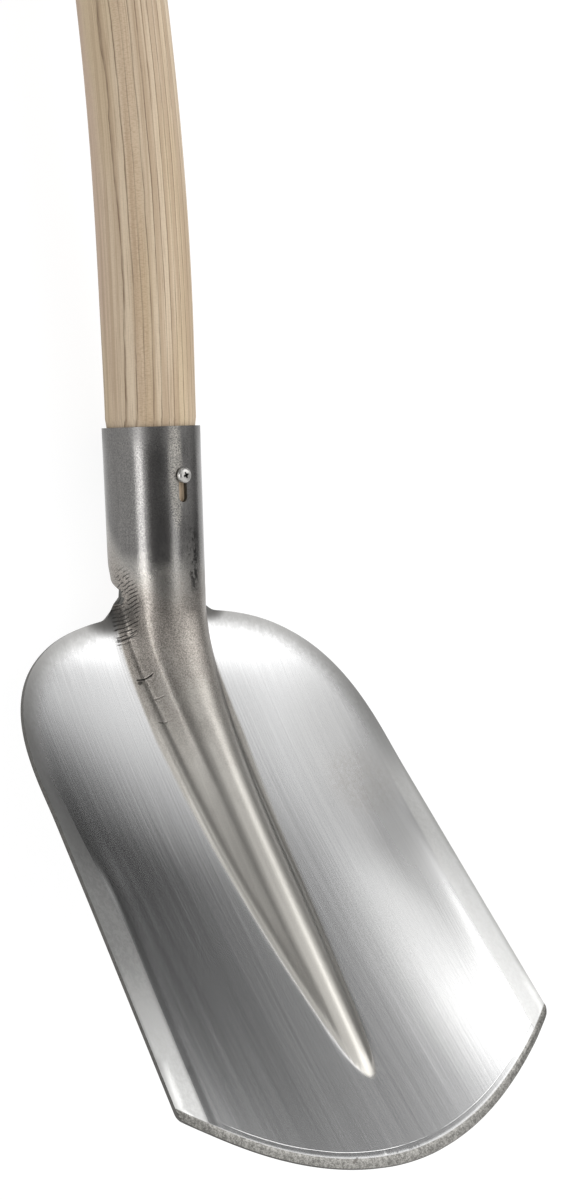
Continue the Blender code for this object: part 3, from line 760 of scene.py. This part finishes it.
fold_end = steel.spot(across, along, centre=(0.0830, 0.150), half_sizes=(0.012, 0.040))
# Painted shade on the left side, near the rear.
left_side_shade = steel.spot(across, along, centre=(-0.0940, 0.150), half_sizes=(0.014, 0.045))
colour = steel.blend(0.6 * left_side_shade, colour, LEFT_SIDE_SHADE_GREY)
print("with stain and dirt:", len(steel.tree.nodes), "nodes")

# %% [markdown]
# The cutting edge is ground on its upper side. The same formula that found its line in the mesh draws it
# here, because it takes a Term as well as a number. The ground bevel is mottled and dull. Behind it runs a
# scribed line that the grinder worked to, broken in places and painted near white as a glint. The edge has
# one small nick, painted as a short dark stroke of shade.

# %% The ground edge
GROUND_GREYS = (0.43, 0.420, 0.395), (0.15, 0.146, 0.136)
BEHIND_GREY = 0.40, 0.40, 0.40
SCRIBED_GLINT_WHITE = 1.0, 1.0, 0.98
NICK_SHADE_BLACK = 0.12, 0.11, 0.10
SCRIBED_AT = 0.0072

behind_edge = along - edge_line(across)
ground = steel.ramp(behind_edge, 0.0046, 0.0038)
ground_grey = steel.blend(steel.ramp(0.5 * flecks + 0.5 * grain, 0.36, 0.62), *GROUND_GREYS)
colour = steel.blend(ground, colour, ground_grey)
before_line = steel.ramp(behind_edge, 0.0078, 0.0060) * (1 - ground) * (1 - 0.8 * band)
colour = steel.blend(0.35 * before_line, colour, BEHIND_GREY)
scribed = steel.ramp(abs(behind_edge - SCRIBED_AT + 0.0008 * cloud), 0.00026, 0.00006)
scribed = scribed * steel.ramp(cloud, 0.35, 0.55)
# The scribed line is painted near white as a glint.
colour = steel.blend(0.6 * scribed * (1 - band), colour, SCRIBED_GLINT_WHITE)
nick = steel.stroke(across, along, start=(-0.0310, 0.0064), end=(-0.0285, 0.0074), half_width=0.0005)
# The nick is painted as a short dark stroke of shade.
colour = steel.blend(0.7 * nick, colour, NICK_SHADE_BLACK)
print("with the ground edge:", len(steel.tree.nodes), "nodes")

# %% [markdown]
# ### Forged steel
# The rib was drawn hot, so its skin is warmer in colour. It widens from its tip as the root
# of the distance. Towards the neck it turns brown and pitted, and the socket is dark grey. A
# share for each of the three says where its skin lies over the one before.

# %% Rib, neck and socket
RIB_TIP = 0.0370
RIB_SPREAD = 0.0585
RIB_HALF_WIDTH = 0.0243
RIB_GREYS = (0.45, 0.434, 0.400), (0.76, 0.736, 0.686)
FAR_FLANK_SHADE_GREY = 0.26, 0.252, 0.235
NECK_BROWNS = (0.15, 0.135, 0.124), (0.42, 0.388, 0.350)
SOCKET_GREYS = (0.080, 0.078, 0.079), (0.255, 0.248, 0.238)

socket_place = steel.place_in(socket_frame)
around, front, above_mouth = steel.split(socket_place)
fine_mottle = steel.noise(blade_place, (2000, 1500, 2000), 4.0, 0.75)
broad_mottle = steel.noise(blade_place, (110, 60, 110), 3.0, 0.6)
socket_streaks = steel.noise(socket_place, (700, 700, 60), 3.0, 0.6)

foot = (RIB_SPREAD * (along - RIB_TIP).most(0.0) ** 0.5).least(RIB_HALF_WIDTH)
rib = steel.ramp(foot - abs(across), -0.0012, 0.0012) * steel.ramp(along, RIB_TIP - 0.001, RIB_TIP + 0.003)
colour = steel.blend(rib, colour, steel.blend(0.5 * fine_mottle + 0.5 * streaks, *RIB_GREYS))
# The rib's far flank gets painted shade.
far_flank_shade = rib * steel.ramp(across, 0.0002, 0.0035)
colour = steel.blend(0.45 * far_flank_shade, colour, FAR_FLANK_SHADE_GREY)

socket = steel.ramp(above_mouth + 0.03 * broad_mottle, -0.070, -0.036) * steel.ramp(up, 0.020, 0.034)
brown = steel.ramp(along + 0.06 * broad_mottle, 0.195, 0.285) * rib * (1 - socket)
colour = steel.blend(brown, colour, steel.blend(steel.ramp(fine_mottle, 0.36, 0.64), *NECK_BROWNS))
socket_mottle = 0.4 * socket_streaks + 0.6 * steel.ramp(fine_mottle, 0.32, 0.68)
colour = steel.blend(socket, colour, steel.blend(socket_mottle, *SOCKET_GREYS))
print("with rib, neck and socket:", len(steel.tree.nodes), "nodes")

# %% [markdown]
# Marks on the socket are drawn by their angle round it, in degrees from its front, and their distance down
# from its mouth, in millimetres. Beside the slot the metal is scuffed duller and painted paler as a highlight
# streak, and soot from the forge has stayed low on the right.

# %% Marks on the socket
RUBBED_SHEEN_GREY = 0.60, 0.57, 0.51
SOOT_BLACK = 0.030, 0.029, 0.028

degrees = around.math("ARCTAN2", around, -front) * (180 / math.pi)
down = -1000 * above_mouth
# Beside the slot the steel is scuffed duller and painted paler as a highlight streak.
rubbed_and_sheen = steel.spot(degrees, down, centre=(-9.0, 18.0), half_sizes=(8.0, 24.0))
rubbed_and_sheen = rubbed_and_sheen * steel.ramp(fine_mottle, 0.40, 0.60)
colour = steel.blend(0.65 * rubbed_and_sheen, colour, RUBBED_SHEEN_GREY)
smudges = steel.noise(socket_place, (420, 420, 260), 4.0, 0.7)
soot = steel.spot(degrees, down, centre=(13.0, 60.0), half_sizes=(9.0, 15.0))
soot = soot * steel.ramp(smudges, 0.47, 0.56)
colour = steel.blend(0.9 * soot, colour, SOOT_BLACK)
print("with the socket's marks:", len(steel.tree.nodes), "nodes")

# %% [markdown]
# The neck was squeezed in as the socket was rolled. That left a patch of slanting wrinkles at its side, 1.9
# mm apart, with painted shade drawn as thin dark lines in their troughs. Lower down the steel folded over
# itself in short laps across the rib, painted as dark lines of shade, and a painted shadow lies where the
# sheet tucks in and the blade and the neck part.

# %% Wrinkles, laps and tucks
WRINKLE_PERIOD = 1.9
SOCKET_RADIUS = 22.5
WRINKLE_SHADE_BLACK = 0.035, 0.033, 0.032
LAP_SHADE_BLACK = 0.03, 0.028, 0.026
TUCK_SHADOW_BLACK = 0.06, 0.058, 0.055

arc = degrees * (SOCKET_RADIUS * math.pi / 180)
wobble = steel.noise(socket_place, (190, 190, 190))
broken = steel.noise(socket_place, (230, 230, 420))
slant = (down + 0.45 * arc + 1.6 * wobble) / WRINKLE_PERIOD
wrinkle = steel.ramp(abs(slant.math("FRACT", slant) - 0.5), 0.29, 0.41) * steel.ramp(broken, 0.38, 0.50)
wrinkle = wrinkle * steel.spot(degrees, down, centre=(-82.0, 80.0), half_sizes=(23.0, 17.0), soft=0.35)
wrinkle = wrinkle * steel.ramp(abs(across), 0.0270, 0.0250)
# Painted shade in the wrinkles' troughs, as thin dark lines.
colour = steel.blend(0.92 * wrinkle, colour, WRINKLE_SHADE_BLACK)

lap = steel.stroke(across, along, start=(-0.0219, 0.2400), end=(-0.0175, 0.2387), half_width=0.00035)
lap_end = steel.spot(across, along, centre=(-0.0212, 0.2384), half_sizes=(0.0011, 0.0009), soft=0.7)
lap = lap.most(0.8 * lap_end)
for depth, start, end, half_width in (
    (0.8, (-0.0258, 0.2591), (-0.0194, 0.2589), 0.00025),
    (0.6, (-0.0186, 0.2290), (-0.0160, 0.2274), 0.00022),
    (0.7, (-0.0195, 0.2184), (-0.0169, 0.2168), 0.00025),
):
    lap = lap.most(depth * steel.stroke(across, along, start, end, half_width))
# The laps are painted as dark lines of shade.
colour = steel.blend(lap, colour, LAP_SHADE_BLACK)

# A painted shadow where the sheet tucks in between the blade and the neck, low down.
tuck_shadow = steel.spot(across, along, centre=(-0.0290, 0.2680), half_sizes=(0.0110, 0.0060))
tuck_shadow = tuck_shadow.most(steel.spot(across, along, centre=(0.0290, 0.2690), half_sizes=(0.0080, 0.0050)))
colour = steel.blend(0.85 * tuck_shadow * steel.ramp(up, 0.030, 0.012), colour, TUCK_SHADOW_BLACK)
print("with wrinkles and laps:", len(steel.tree.nodes), "nodes")

# %% [markdown]
# Brushed steel is a fairly clear mirror, and ground steel, the side bands, scuffed steel and the steel along
# the rim are duller. The streaks and pits are so shallow that a bump is enough for them. The wrinkles, laps
# and the scribed line go deeper.

# %% Roughness and relief of the head
RELIEF_DEPTH = 0.0001

forged = rib.most(socket)
hot_rib = rib * (1 - brown) * (1 - socket)
roughness = 0.17 - 0.02 * socket + 0.08 * broad_streaks + 0.14 * band + 0.18 * ground + 0.10 * brown
roughness = roughness + 0.09 * hot_rib + 0.12 * fold_end + 0.15 * rubbed_and_sheen + 0.15 * dark_rim
relief = (1 - forged) * 0.5 * streaks + forged * (0.5 + 1.6 * brown) * fine_mottle
relief = relief - 3.0 * wrinkle - 2.0 * lap - 1.5 * scribed * (1 - band)
head_steel = steel.surface(
    {
        "Base Color": colour,
        "Metallic": 1.0,
        "Roughness": roughness,
        "Normal": steel.bump(relief, 0.35, RELIEF_DEPTH),
    }
)

# %% [markdown]
# The cut edge of the sheet is a face of its own. Shears tear the steel a little, so it is duller than the
# brushed faces, and it is painted much darker than them. It gets a second material. The faces were marked for
# it when the head was made.

# %% The sheet's cut edge
SHORN_GREYS = (0.045, 0.044, 0.041), (0.200, 0.195, 0.184)

shorn = Finish("shorn_sheet_edge")
tear = shorn.noise(shorn.place_in(blade_frame), (500, 500, 500), 3.0, 0.7)
shorn_edge = shorn.surface(
    {
        "Base Color": shorn.blend(tear, *SHORN_GREYS),
        "Metallic": 1.0,
        "Roughness": 0.40 + 0.20 * tear,
        "Normal": shorn.bump(tear, 0.4, 0.0003),
    }
)
pressed_head.data.materials.append(head_steel)
pressed_head.data.materials.append(shorn_edge)

# %% [markdown]
# The screw is plated and a little dull. Its recess is painted dark as shade, where a point is near the
# screw's axis and below the top of its head.

# %% The screw's steel
ZINC_GREYS = (0.42, 0.41, 0.39), (0.62, 0.61, 0.59)
RECESS_SHADE_BLACK = 0.02, 0.02, 0.019

zinc = Finish("bright_screw_steel")
screw_place = zinc.place_in(socket_frame)
speckle = zinc.noise(screw_place, (1800, 1800, 1800), 2.0, 0.6)
aside, inwards, upwards = zinc.split(screw_place)
off_axis = (aside ** 2 + (upwards - SCREW_HEIGHT) ** 2) ** 0.5
# The recess is painted dark as shade.
recess = zinc.ramp(off_axis, 0.0024, 0.0021) * zinc.ramp(-inwards - SCREW_SEAT, 0.00215, 0.0018)
screw_steel = zinc.surface(
    {
        "Base Color": zinc.blend(0.92 * recess, zinc.blend(speckle, *ZINC_GREYS), RECESS_SHADE_BLACK),
        "Metallic": 1.0,
        "Roughness": 0.22 + 0.16 * speckle,
        "Normal": zinc.bump(speckle, 0.15, 0.0001),
    }
)
pan_screw.data.materials.append(screw_steel)

# %% [markdown]
# ### Ash
# Ash is ring porous. Each year starts with a dark line of open pores and ends in smooth pale
# wood. The rings are nearly flat in so thin a shaft. They show as long dark lines where they
# come out at the surface, close together on one side and far apart where they lie along it.
# All of it is drawn in the straight piece, so that the lines follow the bend.

# %% Year rings
RING_WIDTH = 0.0030
RING_START = -0.0161
RING_LEAN = 0.06
SEED = 3.0

ash = Finish("steam_bent_ash")
billet = ash.attribute("straight", "Vector")
side, depth = ash.split(billet)[:2]
waver = ash.noise(billet, (55, 55, 5)) - 0.5
jitter = ash.noise(billet, (160, 160, 38), 3.0, 0.6) - 0.5
pores = ash.noise(billet, (1500, 1500, 42), 3.0, 0.65)

ring = (side - RING_START - RING_LEAN * depth + 0.0030 * waver + 0.0011 * jitter) / RING_WIDTH
year = ring.math("FLOOR", ring)
since = ring - year
strength = 0.55 + 0.45 * ash.node("ShaderNodeTexWhiteNoise", {"noise_dimensions": "1D"}, {"W": year + SEED})
early = ash.ramp(since, 0.26, 0.04) * ash.ramp(since, 0.0, 0.05) * strength
early = early * (0.45 + 0.55 * ash.ramp(pores, 0.40, 0.56))
print("rings:", len(ash.tree.nodes), "nodes")

# %% [markdown]
# Between the rings the wood runs from pinkish on the left to straw on the right, with soft
# darker stripes and a fine fibre. One strip, where the rings lie along the surface, is flecked
# across the grain.

# %% The shaft's wood
PINKISH = 0.615, 0.455, 0.332
STRAW = 0.715, 0.580, 0.420
HONEY = 0.640, 0.505, 0.335
STRIPE_BROWN = 0.440, 0.312, 0.200
FIBRE_BROWN = 0.390, 0.272, 0.175
FLECK_BROWNS = (0.500, 0.330, 0.190), (0.340, 0.215, 0.120)
PORE_BROWN = 0.170, 0.100, 0.052
FLECKED_AT = -43.0

turned = side.math("ARCTAN2", side, -depth) * (180 / math.pi)
stripes = ash.noise(billet, (330, 330, 3.5), 2.0, 0.6)
fibre = ash.noise(billet, (1900, 1900, 34), 3.0, 0.65)
speck = ash.noise(billet, (700, 700, 2400), 2.0, 0.6)
tone = ash.noise(billet, (45, 45, 7))

wood = ash.blend(ash.ramp(turned, -112.0, -72.0), PINKISH, STRAW)
wood = ash.blend(ash.ramp(tone, 0.40, 0.60), wood, HONEY)
wood = ash.blend(0.60 * ash.ramp(stripes, 0.44, 0.64), wood, STRIPE_BROWN)
wood = ash.blend(0.60 * ash.ramp(fibre, 0.50, 0.70), wood, FIBRE_BROWN)
flecked = ash.ramp(abs(turned - FLECKED_AT), 13.0, 5.0)
wood = ash.blend(0.30 * flecked, wood, FLECK_BROWNS[0])
wood = ash.blend((0.10 + 0.20 * flecked) * ash.ramp(speck, 0.46, 0.62), wood, FLECK_BROWNS[1])
wood = ash.blend(0.97 * early, wood, PORE_BROWN)
shaft_ash = ash.surface(
    {
        "Base Color": wood,
        "Roughness": 0.46 + 0.16 * fibre,
        "Normal": ash.bump(0.5 * fibre - 0.9 * early, 0.35, 0.0003),
    }
)
bent_shaft.data.materials.append(shaft_ash)

# %% [markdown]
# ## Floor, light and camera
# The shovel lies on a pale floor. The floor is white to the camera and to shiny surfaces, and
# it still takes the shovel's shadow. To other rays it glows less, so that it lights the
# shovel's underside only as much as real paper would.

# %% Floor
FLOOR_WHITE = 0.20
FLOOR_GLOW = 0.88
FLOOR_LIFT = 0.40
FLOOR_SIZE = 16.0
FLOOR_GAP = 0.0002


def add_stage(name, shape, matrix):
    """A floor or card: part of the studio and not of the shovel."""
    mesh = bpy.data.meshes.new(name)
    shape.to_mesh(mesh)
    shape.free()
    thing = bpy.data.objects.new(name, mesh)
    thing.matrix_world = matrix
    bpy.context.scene.collection.objects.link(thing)
    return thing


def flat_square(size):
    square = bmesh.new()
    bmesh.ops.create_grid(square, x_segments=1, y_segments=1, size=size / 2)
    return square


def seen_directly(network):
    """1 for the rays that show the background: from the camera, a shiny surface or glass."""
    ray = network.node("ShaderNodeLightPath", {}, {}, "Is Camera Ray")
    return ray.most(ray.output("Is Glossy Ray")).most(ray.output("Is Transmission Ray"))


floor = add_stage("floor", flat_square(FLOOR_SIZE), Matrix.Translation((0, 0, -FLOOR_GAP)))
paper = Finish("pale_floor")
floor_glow = paper.blend(seen_directly(paper), (FLOOR_LIFT,) * 3, (FLOOR_GLOW,) * 3)
pale_floor = paper.surface(
    {
        "Base Color": (FLOOR_WHITE,) * 3,
        "Roughness": 0.9,
        "Specular IOR Level": 0.0,
        "Emission Color": floor_glow,
        "Emission Strength": 1.0,
    }
)
floor.data.materials.append(pale_floor)

# %% [markdown]
# The world is white where it is seen, and below white where it lights. Both come from one
# strength, which asks what kind of ray is looking.

# %% World
WORLD_LIGHT = 0.66

world = bpy.data.worlds.new("studio")
world.use_nodes = True
bpy.context.scene.world = world
sky = Network(world.node_tree)
level = sky.node("ShaderNodeMapRange", {}, {"Value": seen_directly(sky), "To Min": WORLD_LIGHT})
white = sky.node("ShaderNodeBackground", {}, {"Color": (1.0,) * 3, "Strength": level})
sky.end("ShaderNodeOutputWorld", white)
print("world:", [node.name for node in sky.tree.nodes])

# %% [markdown]
# Polished steel shows what stands round it, so a photographer puts dark and bright cards there.
# These do the same. Only shiny surfaces see them, so they light nothing, cast no shadow and are
# out of every view. Each fills a range of azimuths, which run from +Y towards +X, and of
# elevations, about the middle of the blade or of the socket.

# %% Places in the studio
BLADE_MIDDLE = Vector((0, -0.53, 0.08))
SOCKET_MIDDLE = Vector((0, -0.385, 0.085))


def studio_place(middle, azimuths, elevations, radius):
    """The place in the middle of a range of azimuths and elevations, turned to face the shovel."""
    azimuth, elevation = math.radians(sum(azimuths) / 2), math.radians(sum(elevations) / 2)
    level = Vector((math.sin(azimuth), math.cos(azimuth), 0))
    outwards = level * math.cos(elevation) + Vector((0, 0, math.sin(elevation)))
    turn = (-outwards).to_track_quat("Z", "Y").to_matrix().to_4x4()
    return Matrix.Translation(middle + outwards * radius) @ turn


def studio_size(azimuths, elevations, radius):
    """The width and height that fill a range of azimuths and elevations at a distance."""
    half_width = math.radians(azimuths[1] - azimuths[0]) / 2 * math.cos(math.radians(sum(elevations) / 2))
    half_height = math.radians(elevations[1] - elevations[0]) / 2
    return 2 * radius * math.tan(half_width), 2 * radius * math.tan(half_height)


print("blade's middle:", tuple(BLADE_MIDDLE), "socket's middle:", tuple(SOCKET_MIDDLE))

# %% [markdown]
# A card is a plane that glows, with an alpha that fades at its edges, because a real card is
# out of focus in brushed steel. Most stand 3 m away. One stands close by, so that only a part
# of the blade shows it.

# %% Card tools
STUDIO_RADIUS = 3.0


def paint_card(name, place, greys, feathers, power):
    """A glowing card with soft edges, from one grey at its foot to another at its top."""
    card = add_stage(name, flat_square(1.0), place)
    for ray_kind in ("camera", "diffuse", "shadow", "transmission", "volume_scatter"):
        setattr(card, "visible_" + ray_kind, False)
    paint = Finish(name)
    x, y = paint.split(paint.node("ShaderNodeTexCoord", {}, {}, "Object"))[:2]
    feathered = paint.ramp(0.5 - abs(x), 0.0, feathers[0]) * paint.ramp(0.5 - abs(y), 0.0, feathers[1])
    grey = paint.blend((y + 0.5).most(0.0) ** power, (greys[0],) * 3, (greys[1],) * 3)
    card.data.materials.append(
        paint.surface(
            {
                "Base Color": (0.0,) * 3,
                "Roughness": 1.0,
                "Specular IOR Level": 0.0,
                "Alpha": feathered,
                "Emission Color": grey,
                "Emission Strength": 1.0,
            }
        )
    )


def add_card(name, middle, azimuths, elevations, greys, feather, power=1.0):
    """A card over a range of azimuths and elevations, in degrees, feathered over so many degrees."""
    size = Matrix.Diagonal((*studio_size(azimuths, elevations, STUDIO_RADIUS), 1, 1))
    feathers = feather / (azimuths[1] - azimuths[0]), feather / (elevations[1] - elevations[0])
    place = studio_place(middle, azimuths, elevations, STUDIO_RADIUS)
    paint_card(name, place @ size, greys, feathers, power)


def add_near_card(name, middle, sizes, grey, feather):
    """An upright card close beside the blade, which only the blade's rear half shows."""
    upright = Matrix.Rotation(math.pi / 2, 4, "Y") @ Matrix.Rotation(math.pi / 2, 4, "Z")
    place = Matrix.Translation(middle) @ upright @ Matrix.Diagonal((*sizes, 1, 1))
    paint_card(name, place, (grey, grey), (feather, feather), 1.0)


print("cards stand", STUDIO_RADIUS, "m away")

# %% [markdown]
# The low card darkens the left of the blade and grows paler upwards. The near card puts the
# bright patch on the left shoulder. The cards round the socket give it a grey side, a thin
# bright strip and a dark front, as on any polished tube.

# %% Cards
add_near_card("card_rear", middle=(0.230, -0.160, 0.250), sizes=(0.290, 0.200), grey=1.15, feather=0.30)
add_card("card_low", BLADE_MIDDLE, (18, 69), (-6, 36), greys=(0.03, 0.55), feather=4, power=4.0)
add_card("card_low_side", BLADE_MIDDLE, (67, 124), (-12, 21), greys=(0.24, 0.24), feather=3)
add_card("card_right", SOCKET_MIDDLE, (78, 118), (-6, 66), greys=(0.50, 0.50), feather=4)
add_card("card_far", BLADE_MIDDLE, (-8, 27), (20, 50), greys=(0.28, 0.28), feather=6)
add_card("card_left", BLADE_MIDDLE, (-82, -13), (0, 50), greys=(0.26, 0.14), feather=5)
add_card("card_overhead", SOCKET_MIDDLE, (-158, -78), (38, 88), greys=(0.22, 0.22), feather=3)
add_card("card_strip", SOCKET_MIDDLE, (-112, -78), (10, 31), greys=(4.9, 4.7), feather=4)

# %% [markdown]
# Softboxes light the shovel from the right, from above and more weakly from the left. A lamp's
# power grows with its area, so each is given as a brightness beside a white world. The last
# two only fill shadows and don't show in the steel.

# %% Lamps
LAMP_RADIUS = 2.5


def add_softbox(name, middle, azimuths, elevations, brightness, shiny=True):
    """A softbox that looks as bright as a white world times the brightness."""
    lamp = bpy.data.lights.new(name, "AREA")
    lamp.shape = "RECTANGLE"
    lamp.size, lamp.size_y = studio_size(azimuths, elevations, LAMP_RADIUS)
    lamp.energy = brightness * math.pi * lamp.size * lamp.size_y
    thing = bpy.data.objects.new(name, lamp)
    place = studio_place(middle, azimuths, elevations, LAMP_RADIUS)
    thing.matrix_world = place @ Matrix.Rotation(math.pi, 4, "X")
    thing.visible_glossy = shiny
    bpy.context.scene.collection.objects.link(thing)
    print(name, "has", round(lamp.energy, 1), "W")


add_softbox("key_softbox", BLADE_MIDDLE, (30, 84), (36, 64), brightness=1.25)
add_softbox("side_softbox", BLADE_MIDDLE, (60, 84), (22, 36), brightness=1.15)
add_softbox("overhead_softbox", SOCKET_MIDDLE, (110, 150), (69, 81), brightness=1.5)
add_softbox("fill_softbox", SOCKET_MIDDLE, (70, 130), (30, 60), brightness=1.7, shiny=False)
add_softbox("left_softbox", SOCKET_MIDDLE, (-120, -70), (20, 50), brightness=0.9, shiny=False)

# %% [markdown]
# The camera looks down at the blade from the left, from 1 m away, with a fairly long lens. Its
# place and turn in the blade's frame were found by matching the photograph's outlines.

# %% Camera
EYE = Vector((-0.58311, -0.16372, 0.66789))
EYE_TURN = Euler((math.radians(43.11249), math.radians(-28.63027), math.radians(-29.53685)), "XYZ")
LENS = 64.39
SENSOR_HEIGHT = 36

camera_data = bpy.data.cameras.new("camera")
camera_data.sensor_fit = "VERTICAL"
camera_data.sensor_height = SENSOR_HEIGHT
camera_data.lens = LENS
camera = bpy.data.objects.new("camera", camera_data)
camera.matrix_world = blade_frame @ Matrix.Translation(EYE) @ EYE_TURN.to_matrix().to_4x4()
bpy.context.scene.collection.objects.link(camera)
bpy.context.scene.camera = camera
bpy.context.scene.view_settings.view_transform = "Standard"
print("camera at:", [round(value, 3) for value in camera.matrix_world.translation])

# %% [markdown]
